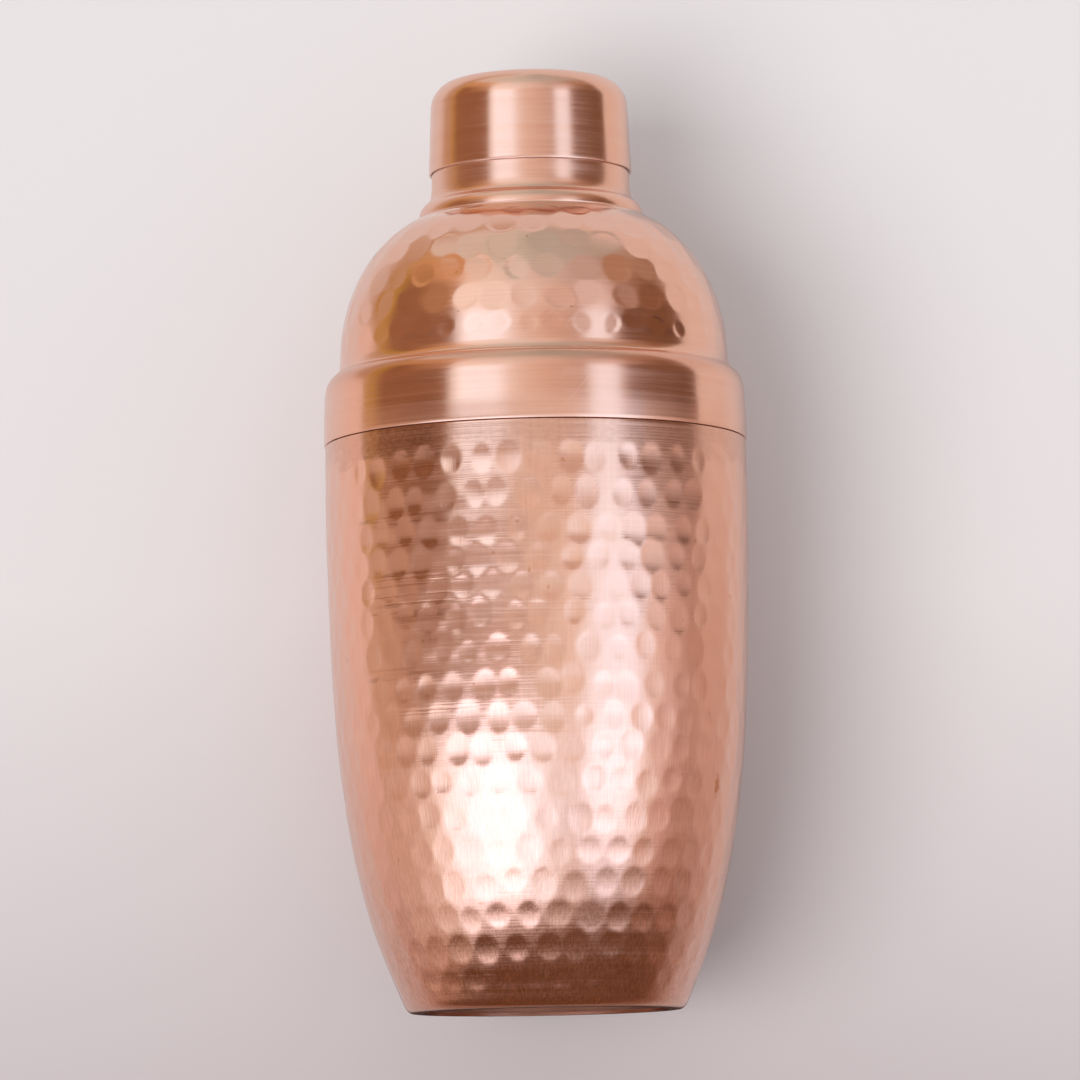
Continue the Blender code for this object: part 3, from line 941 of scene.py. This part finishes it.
def brushed(name, rough, aniso, shift, base=COPPER, painted_shade_above=None):
    """Copper spun and brushed round the axis: the marks run round, so highlights stretch up and
    down. shift moves the patterns, and above the height in the last argument a painted shade
    darkens the copper."""
    mat, net, shader, point = metal(name)
    moved = net.vmath("ADD", point, (shift, shift * 0.7, 0.0))
    lines = net.streaks(moved, level=20, up=3000, detail=3, rough=0.65)
    fine = net.streaks(moved, level=60, up=7000, detail=2, rough=0.6)
    broad = net.streaks(moved, level=8, up=500, detail=2)
    clouds = net.noise(moved, scale=42.0, detail=3, rough=0.55)
    stray = scratches(
        net, moved, turn=0.9, long=75, fine=2500, over=(0.67, 0.70), seed=4.0 + shift,
        patch=(70, 80), patch_over=(0.53, 0.61),
    )
    relief(
        net,
        shader,
        net.mul(lines, 1.5),
        net.mul(fine, 0.8),
        net.mul(broad, 1.0),
        net.mul(stray, -3.0),
    )
    inner = net.attribute("inner")
    roughness = net.add(
        rough,
        net.fit(lines, over=(0.3, 0.7), to=(-0.035, 0.05)),
        net.fit(clouds, over=(0.35, 0.65), to=(-0.02, 0.03)),
        net.mul(inner, 0.06),
    )
    net.put(roughness, shader.inputs["Roughness"])
    shader.inputs["Anisotropic"].default_value = aniso
    shader.inputs["Anisotropic Rotation"].default_value = 0.25
    tangent = net.node("ShaderNodeTangent", direction_type="RADIAL", axis="Z")
    net.put(tangent.outputs[0], shader.inputs["Tangent"])

    tone = clouded(net, clouds, base)
    bright_lines = net.fit(lines, over=(0.52, 0.72))
    tone = net.stain(tone, bright_lines, amount=0.25, colour=COPPER_BRIGHT)
    deep_lines = net.fit(broad, over=(0.50, 0.68))
    tone = net.stain(tone, deep_lines, amount=0.20, colour=COPPER_DEEP)
    # painted shade: the copper above this height is darkened
    if painted_shade_above:
        over = (painted_shade_above - 0.0012, painted_shade_above + 0.0012)
        up = net.fit(net.split(point)[2], over=over)
        tone = net.stain(tone, up, amount=0.55, colour=(0.74, 0.38, 0.27))
    put_lined(net, shader, tone, inner)
    return mat


def brushed_base():
    base = (0.72, 0.41, 0.30)
    return brushed("brushed_copper_base", rough=0.36, aniso=0.4, shift=0.31, base=base)


def brushed_collar():
    return brushed(
        "brushed_copper_collar", rough=0.165, aniso=0.42, shift=0.0, painted_shade_above=0.1308
    )


def brushed_strainer():
    return brushed("brushed_copper_strainer", rough=0.30, aniso=0.3, shift=0.17)


def brushed_cap():
    return brushed("brushed_copper_cap", rough=0.180, aniso=0.45, shift=0.52)


# ---------------------------------------------------------------- pieces in their places

PIECES = (
    # mesh, body it rides, CAD node it replaces, slot, material
    (build_body, "tumbler", "body_shell", "hammered_copper", hammered_body),
    (build_base, "tumbler", "base_plate", "brushed_copper", brushed_base),
    (build_dome, "strainer_top", "dome_shell", "hammered_copper", hammered_dome),
    (build_collar, "strainer_top", "collar_band", "brushed_copper", brushed_collar),
    (build_strainer, "strainer_top", "strainer_plate", "strainer_copper", brushed_strainer),
    (build_cap, "cap", "cap_shell", "brushed_copper", brushed_cap),
)

for build, body, node, slot_name, make_material in PIECES:
    piece = build()
    piece.data.materials.clear()
    piece.data.materials.append(make_material())
    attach(piece, body)
    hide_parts(node)

# ---------------------------------------------------------------- camera, in metres

AIM_Z = 0.0988
LOOK_UP = math.radians(6.25)
DISTANCE = 1.302
ROLL = math.radians(1.12)
VIEW_DIRECTION = Vector((0.0, math.cos(LOOK_UP), math.sin(LOOK_UP)))
EYE = Vector((0.0, 0.0, AIM_Z)) - VIEW_DIRECTION * DISTANCE


def build_camera():
    lens = bpy.data.cameras.new("camera")
    lens.sensor_width = 36.0
    lens.lens = 206.67
    lens.shift_x = 0.0025
    lens.clip_start, lens.clip_end = 0.05, 30.0
    camera = link_object("camera", lens)
    camera.rotation_mode = "QUATERNION"
    camera.location = EYE
    roll = Quaternion((0, 0, 1), -ROLL)
    camera.rotation_quaternion = VIEW_DIRECTION.to_track_quat("-Z", "Y") @ roll
    bpy.context.scene.camera = camera


build_camera()
bpy.context.scene.view_settings.view_transform = "Standard"

# ---------------------------------------------------------------- stage: one pale surface

PALE = (0.80, 0.765, 0.77)
BACKDROP = (0.80, 0.775, 0.78)
WHITE = (1.0, 1.0, 1.0)
TABLE_Y = 0.0446  # the shaker's side touches the surface it lies on
TABLE_LEFT, TABLE_RIGHT, TABLE_LOW, TABLE_HIGH = -0.25, 0.45, -0.8, 2.0
FLOOR_HALF = 12
# painted light falloff: the table's paint grows darker towards the foot
TABLE_LIGHT_FALLOFF = (
    # place from the foot towards the shoulder, colour
    (0.0, (0.535, 0.487, 0.498)),
    (0.25, (0.628, 0.588, 0.597)),
    (0.56, (0.721, 0.692, 0.698)),
    (1.0, (0.716, 0.704, 0.707)),
)


def camera_place(net):
    """The camera's own position, whichever view is rendered."""
    node = net.node(
        "ShaderNodeVectorTransform", vector_type="POINT", convert_from="CAMERA", convert_to="WORLD"
    )
    node.inputs[0].default_value = (0.0, 0.0, 0.0)
    return node.outputs[0]


def laid_down(net):
    """1 in the view from above the table the shaker lies on, 0 in every view where it stands."""
    away = net.vmath("DISTANCE", camera_place(net), tuple(EYE))
    return net.math("LESS_THAN", away, 0.12)


def standing(net):
    above = net.math("GREATER_THAN", net.split(camera_place(net))[2], 0.0)
    return net.mul(above, net.math("SUBTRACT", 1.0, laid_down(net)))


def painted(net, shade):
    paint = net.node("ShaderNodeBsdfDiffuse")
    net.put(shade, paint.inputs[0])
    return paint.outputs[0]


def mix_shaders(net, share, first, second):
    node = net.node("ShaderNodeMixShader")
    net.put_all(node, (share, first, second))
    return node.outputs[0]


def painted_table_reflection(net, x, z):
    """Painted shade and tint of the table as seen in the metal: warmer away from the shaker, darker
    and warmer on the right in the shaker's shadow, a warm brown patch high on the left, darker low
    down and dark under its foot.
    """
    wide = net.math("ABSOLUTE", x)
    far_off = net.fit(wide, over=(0.065, 0.16), smooth=True)
    # painted shadow: darker and warmer on the right
    right = net.fit(x, over=(-0.05, 0.05))
    raised = net.fit(z, over=(0.09, 0.16))
    on_right = net.mix(raised, (0.76, 0.625, 0.55), (0.91, 0.84, 0.78))
    warm = net.mix(right, (0.97, 0.84, 0.765), on_right)
    upper_left = net.mul(
        net.fit(x, over=(-0.075, -0.12), smooth=True),
        net.fit(z, over=(0.165, 0.200), smooth=True),
    )
    warm = net.mix(upper_left, warm, (0.66, 0.49, 0.33))
    seen = net.mix(far_off, (0.90, 0.90, 0.90), warm)
    # painted shade: darker low down
    low = net.fit(z, over=(-0.145, 0.008), smooth=True)
    seen = net.tint(seen, net.mix(low, (0.50, 0.36, 0.28), WHITE))
    # painted shadow under the shaker's foot
    foot = net.mul(
        net.fit(wide, over=(0.030, 0.042), to=(1.0, 0.0), smooth=True),
        net.window(z, low=-0.05, high=0.006, soft=0.01, soft_high=0.002),
    )
    return net.mix(foot, seen, (0.16, 0.11, 0.09))


def table_surface(net, point, mirrored):
    x, _, z = net.split(point)
    # painted light falloff on the table's paint, with painted shade and tint where the metal shows it
    shade = net.ramp(net.fit(z, over=(-0.02, 0.18)), TABLE_LIGHT_FALLOFF)
    shade = net.mix(mirrored, shade, net.tint(shade, painted_table_reflection(net, x, z)))
    return painted(net, shade), laid_down(net)


def floor_surface(net, point, mirrored):
    """Pale paint that fades into the backdrop with distance."""
    cloud = net.fit(net.noise(point, scale=6.0, detail=2), over=(0.3, 0.7))
    shade = net.mix(cloud, PALE, tuple(value * 0.985 for value in PALE))
    glow = net.node("ShaderNodeEmission")
    net.put(BACKDROP, glow.inputs[0])
    far = net.fit(net.vmath("LENGTH", point), over=(0.5, 2.4), smooth=True)
    surface = mix_shaders(net, far, painted(net, shade), glow.outputs[0])
    # in the metal the floor is mostly replaced by the room's panels
    return surface, net.mul(standing(net), net.mixf(mirrored, 1.0, 0.30))


def stage_plane(name, corners, build_surface):
    """A plane with a surface, clear in the views where build_surface says it isn't drawn."""
    mesh = bpy.data.meshes.new(name)
    mesh.from_pydata(corners, [], [(0, 1, 2, 3)])
    obj = link_object(name, mesh)
    mat = bpy.data.materials.new(name)
    mat.use_nodes = True
    net = Net(mat.node_tree)
    nodes = mat.node_tree.nodes
    nodes.remove(nodes["Principled BSDF"])
    mirrored = net.node("ShaderNodeLightPath").outputs["Is Glossy Ray"]
    surface, drawn = build_surface(net, net.object_point(), mirrored)
    clear = net.node("ShaderNodeBsdfTransparent").outputs[0]
    shown = mix_shaders(net, drawn, clear, surface)
    net.put(shown, nodes["Material Output"].inputs["Surface"])
    mesh.materials.append(mat)


CORNER_SIGNS = ((-1, -1), (1, -1), (1, 1), (-1, 1))
TABLE_CORNERS = [
    (TABLE_LEFT, TABLE_Y, TABLE_LOW),
    (TABLE_RIGHT, TABLE_Y, TABLE_LOW),
    (TABLE_RIGHT, TABLE_Y, TABLE_HIGH),
    (TABLE_LEFT, TABLE_Y, TABLE_HIGH),
]
FLOOR_CORNERS = [(FLOOR_HALF * x, FLOOR_HALF * y, 0) for x, y in CORNER_SIGNS]
stage_plane("table_top", TABLE_CORNERS, table_surface)
stage_plane("floor", FLOOR_CORNERS, floor_surface)

# ---------------------------------------------------------------- world: the room in the metal

# The room is a stack of bands. Each is a list of stops: turn in degrees from the front, positive
# to the right, and a colour. Ramps hold the colours divided by RING_SCALE.
RING_SCALE = 4
BEHIND = (0.66, 0.60, 0.57)
BEHIND_LEFT = (0.95, 0.92, 0.92)
BEHIND_RIGHT = (0.98, 0.95, 0.95)


def with_back(*stops):
    """Stops closed by the part of the room behind the shaker, the same in most bands."""
    before = ((-180, BEHIND), (-150, BEHIND_LEFT))
    return (*before, *stops, (150, BEHIND_RIGHT), (180, BEHIND))


LOW_BAND = with_back(
    (-118, (0.60, 0.48, 0.42)), (-92, (0.62, 0.48, 0.42)), (-78, (0.72, 0.60, 0.55)),
    (-67, (0.90, 0.86, 0.84)), (-57, (1.38, 1.50, 1.72)), (-38, (1.62, 1.84, 2.26)),
    (-16, (1.62, 1.84, 2.26)), (-6, (1.30, 1.53, 1.86)), (4, (1.06, 1.19, 1.36)),
    (20, (0.90, 0.92, 0.99)), (29, (1.22, 1.49, 1.84)), (40, (1.42, 1.76, 2.24)),
    (53, (1.28, 1.57, 1.98)), (63, (0.86, 0.83, 0.86)), (76, (0.66, 0.53, 0.52)),
    (90, (0.46, 0.33, 0.29)), (118, (0.48, 0.35, 0.30)),
)
GAP_BAND = with_back(
    (-116, (0.68, 0.55, 0.48)), (-98, (0.58, 0.42, 0.32)), (-84, (0.50, 0.35, 0.27)),
    (-68, (0.44, 0.31, 0.25)), (-54, (0.45, 0.33, 0.28)), (-44, (0.47, 0.36, 0.31)),
    (-20, (0.57, 0.45, 0.39)), (4, (0.78, 0.71, 0.65)), (18, (0.86, 0.82, 0.79)),
    (29, (0.98, 1.13, 1.33)), (40, (1.14, 1.39, 1.75)), (55, (1.08, 1.27, 1.56)),
    (64, (0.88, 0.82, 0.83)), (76, (0.70, 0.57, 0.54)), (92, (0.52, 0.37, 0.32)),
    (118, (0.56, 0.42, 0.36)),
)
MIDDLE_BAND = with_back(
    (-116, (0.66, 0.54, 0.45)), (-109, (0.54, 0.37, 0.17)), (-99, (0.46, 0.29, 0.09)),
    (-95, (0.32, 0.18, 0.09)), (-90, (0.23, 0.11, 0.05)), (-56, (0.21, 0.10, 0.05)),
    (-50, (0.28, 0.15, 0.09)), (-46, (0.92, 0.96, 0.98)), (-40, (1.20, 1.42, 1.66)),
    (-20, (1.18, 1.38, 1.60)), (-12, (0.90, 0.86, 0.84)), (-4, (0.78, 0.68, 0.61)),
    (10, (0.65, 0.52, 0.45)), (28, (0.56, 0.43, 0.37)), (31, (0.86, 0.92, 1.02)),
    (36, (1.02, 1.16, 1.34)), (46, (1.00, 1.13, 1.30)), (50, (0.54, 0.44, 0.41)),
    (55, (0.22, 0.12, 0.08)), (74, (0.07, 0.025, 0.015)), (91, (0.06, 0.02, 0.01)),
    (99, (0.20, 0.11, 0.08)), (108, (0.60, 0.49, 0.42)),
)
UPPER_BAND = with_back(
    (-122, (0.54, 0.40, 0.26)), (-112, (0.50, 0.34, 0.10)), (-100, (0.46, 0.30, 0.07)),
    (-94, (0.34, 0.19, 0.06)), (-86, (0.29, 0.14, 0.05)), (-70, (0.40, 0.24, 0.13)),
    (-52, (0.52, 0.33, 0.21)), (-47, (0.96, 0.98, 0.98)), (-14, (0.94, 0.97, 0.97)),
    (-5, (0.80, 0.75, 0.71)), (10, (0.74, 0.63, 0.57)), (28, (0.65, 0.55, 0.50)),
    (34, (0.76, 0.69, 0.68)), (48, (0.78, 0.72, 0.72)), (56, (0.52, 0.40, 0.36)),
    (66, (0.36, 0.23, 0.17)), (84, (0.26, 0.14, 0.08)), (96, (0.34, 0.22, 0.16)),
    (108, (0.62, 0.52, 0.46)),
)
HIGH_BAND = with_back(
    (-118, (0.54, 0.38, 0.20)), (-100, (0.60, 0.38, 0.18)), (-62, (0.64, 0.41, 0.24)),
    (-52, (0.82, 0.66, 0.54)), (-40, (0.92, 0.93, 0.90)), (-14, (0.80, 0.82, 0.80)),
    (6, (0.70, 0.66, 0.62)), (30, (0.60, 0.54, 0.50)), (54, (0.54, 0.44, 0.39)),
    (64, (0.42, 0.27, 0.18)), (98, (0.42, 0.29, 0.21)), (110, (0.60, 0.50, 0.44)),
)
CEILING = (
    (-180, (0.60, 0.58, 0.55)), (-120, (0.74, 0.72, 0.68)), (-60, (0.70, 0.72, 0.67)),
    (-20, (0.60, 0.66, 0.62)), (20, (0.50, 0.56, 0.53)), (60, (0.47, 0.48, 0.45)),
    (110, (0.56, 0.55, 0.51)), (180, (0.60, 0.58, 0.55)),
)
HIGHER_BANDS = (
    # degrees of rise over which the band takes over from the one below, stops
    ((-5.2, -1.6), GAP_BAND),
    ((5.8, 7.8), MIDDLE_BAND),
    ((20.0, 27.0), UPPER_BAND),
    ((36.0, 42.0), HIGH_BAND),
    ((50.0, 56.0), CEILING),
)

# By turn: degrees that the bright low window reaches down, further on the left than on the right,
# degrees of softness of that edge, and the least light of the dark room. Each has the scale its
# ramp is divided by.
WINDOW_REACH = ((-180, 24), (-80, 30), (-45, 30.7), (4, 30.8), (25, 26), (45, 22), (75, 19), (180, 24))
REACH_SCALE = 60
WINDOW_SOFTNESS = ((-180, 11), (-80, 8), (4, 8), (30, 13), (75, 13), (180, 11))
SOFTNESS_SCALE = 20
LEAST_LIGHT = ((-180, 0.25), (-80, 0.31), (-10, 0.31), (50, 0.20), (100, 0.20), (180, 0.25))


def ring_colour(colour):
    return tuple(value / RING_SCALE for value in colour)


def by_turn(net, turn, stops):
    places = [((angle + 180.0) / 360.0, colour) for angle, colour in stops]
    return net.ramp(net.fit(turn, over=(-180, 180)), places)


def colour_by_turn(net, turn, stops):
    return by_turn(net, turn, [(angle, ring_colour(colour)) for angle, colour in stops])


def value_by_turn(net, turn, stops, scale):
    greys = [(angle, (value / scale,) * 3) for angle, value in stops]
    return net.split(by_turn(net, turn, greys))[0]


def low_window(net, turn, rise):
    """The lowest band, with the dim ground below the window's edge."""
    reach = value_by_turn(net, turn, WINDOW_REACH, REACH_SCALE)
    edge = net.mul(reach, -float(REACH_SCALE))
    softness = value_by_turn(net, turn, WINDOW_SOFTNESS, SOFTNESS_SCALE)
    softness = net.mul(softness, float(SOFTNESS_SCALE))
    over_edge = net.math("DIVIDE", net.math("SUBTRACT", rise, edge), softness)
    open_part = net.fit(over_edge, over=(-1.0, 1.0), smooth=True)
    warming = net.fit(over_edge, over=(-1.0, 1.3), smooth=True)
    window = colour_by_turn(net, turn, LOW_BAND)
    lit = net.tint(window, net.mix(warming, (1.0, 0.72, 0.56), WHITE))
    dimmed = net.tint(window, (0.46, 0.38, 0.34))
    deep_down = net.fit(rise, over=(-78.0, -38.0), smooth=True)
    dimmed = net.mix(deep_down, ring_colour((0.42, 0.32, 0.28)), dimmed)
    below = net.mix(laid_down(net), dimmed, ring_colour((0.15, 0.072, 0.040)))
    return net.mix(open_part, below, lit)


def room_in_metal(net, direction, dx, dy, dz):
    turn = net.mul(net.turn(dx, dy), 180 / math.pi)
    rise = net.mul(net.math("ARCSINE", dz), 180 / math.pi)
    lit = low_window(net, turn, rise)
    for over, stops in HIGHER_BANDS:
        band = colour_by_turn(net, turn, stops)
        lit = net.mix(net.fit(rise, over=over, smooth=True), lit, band)
    # the dark room is a little lighter above the height the collar shows
    least = value_by_turn(net, turn, LEAST_LIGHT, RING_SCALE)
    least = net.mul(net.fit(rise, over=(9.5, 12.5)), least)
    lit = net.mix(1.0, lit, net.tint((1.0, 0.52, 0.28), least), "LIGHTEN")
    # uneven brightness, which also brings the ramps back to full scale
    uneven = net.noise(direction, scale=2.6, detail=2)
    return net.tint(lit, net.fit(uneven, over=(0.3, 0.7), to=(3.72, 4.28)))


def room_light(net, direction, dz):
    """Plain light for everything but reflections, brightest from the upper front left."""
    key = Vector((-0.50, -0.62, 0.60)).normalized()
    facing = net.vmath("DOT_PRODUCT", direction, tuple(key))
    soft = net.fit(facing, over=(-0.5, 1.0), to=(0.34, 1.00), smooth=True)
    table_room = net.fit(dz, over=(-0.6, 1.0), to=(0.52, 1.00))
    level = net.mixf(laid_down(net), soft, table_room)
    return net.tint((1.0, 0.955, 0.965), level)


def build_world():
    world = bpy.data.worlds.new("studio")
    bpy.context.scene.world = world
    world.use_nodes = True
    world.cycles.sampling_method = "NONE"
    net = Net(world.node_tree)
    background = world.node_tree.nodes["Background"]
    generated = net.node("ShaderNodeTexCoord").outputs["Generated"]
    direction = net.vmath("NORMALIZE", generated)
    dx, dy, dz = net.split(direction)
    reflected = room_in_metal(net, direction, dx, dy, dz)
    path = net.node("ShaderNodeLightPath").outputs
    chosen = net.mix(path["Is Glossy Ray"], room_light(net, direction, dz), reflected)
    chosen = net.mix(path["Is Camera Ray"], chosen, BACKDROP)
    net.put(chosen, background.inputs["Color"])
    background.inputs["Strength"].default_value = 1.0


build_world()

# ---------------------------------------------------------------- lights


def soft_sun(name, energy, spread, toward):
    """A sun of spread degrees in the direction toward, left out of reflections."""
    sun = bpy.data.lights.new(name, "SUN")
    sun.energy = energy
    sun.angle = math.radians(spread)
    lamp = bpy.data.objects.new(name, sun)
    toward = Vector(toward).normalized()
    lamp.rotation_mode = "QUATERNION"
    lamp.rotation_quaternion = (-toward).to_track_quat("-Z", "Y")
    lamp.location = toward * 2.0
    lamp.visible_glossy = False
    bpy.context.scene.collection.objects.link(lamp)
    return sun


# A wide soft window light from the lower left of the table view.
window_sun = soft_sun("window_light", energy=1.60, spread=34, toward=(-0.52, -1.0, -0.22))
window_sun.color = (1.0, 0.985, 0.975)

# The same kind of light from the upper left, for the views in which the shaker stands.
top_sun = soft_sun("top_light", energy=1.55, spread=40, toward=(-0.55, -0.50, 1.0))
top_sun.use_nodes = True
top_net = Net(top_sun.node_tree)
top_strength = top_sun.node_tree.nodes["Emission"].inputs["Strength"]
top_net.put(top_net.math("SUBTRACT", 1.0, laid_down(top_net)), top_strength)
